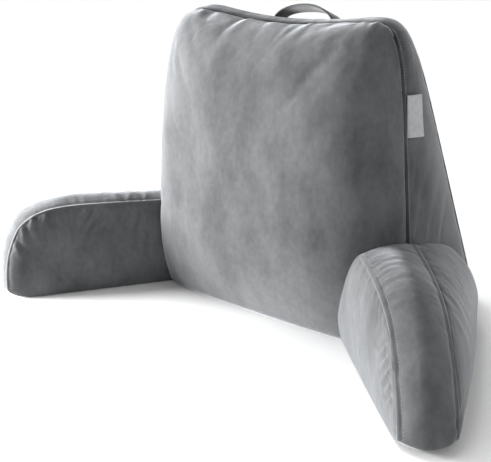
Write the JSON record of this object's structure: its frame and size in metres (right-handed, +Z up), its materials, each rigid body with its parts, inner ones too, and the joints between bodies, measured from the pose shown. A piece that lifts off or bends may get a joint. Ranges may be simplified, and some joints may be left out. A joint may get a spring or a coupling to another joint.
{
  "type": "reading pillow with arms",
  "caption": "Wedge-shaped backrest cushion with a filled arm on each front corner, raised seams, a strap handle on its top edge and a small side label.",
  "frame": {"origin": "on the surface that the pillow stands on, under the middle of its outline", "axes": "+X to the right in a front view, from one arm towards the other; +Y from the front of the back towards its rear; +Z up"},
  "size_m": [0.8376, 0.5253, 0.4761],
  "materials": {
    "velvet": "short-pile velvet, mid grey",
    "webbing": "flat velvet band, dark grey",
    "label_cloth": "satin-woven label cloth, light grey"
  },
  "bodies": {
    "root": {"back_cushion": "velvet", "arm_right": "velvet", "arm_left": "velvet", "carry_strap": "webbing", "side_label": "label_cloth"}
  },
  "joints": []
}
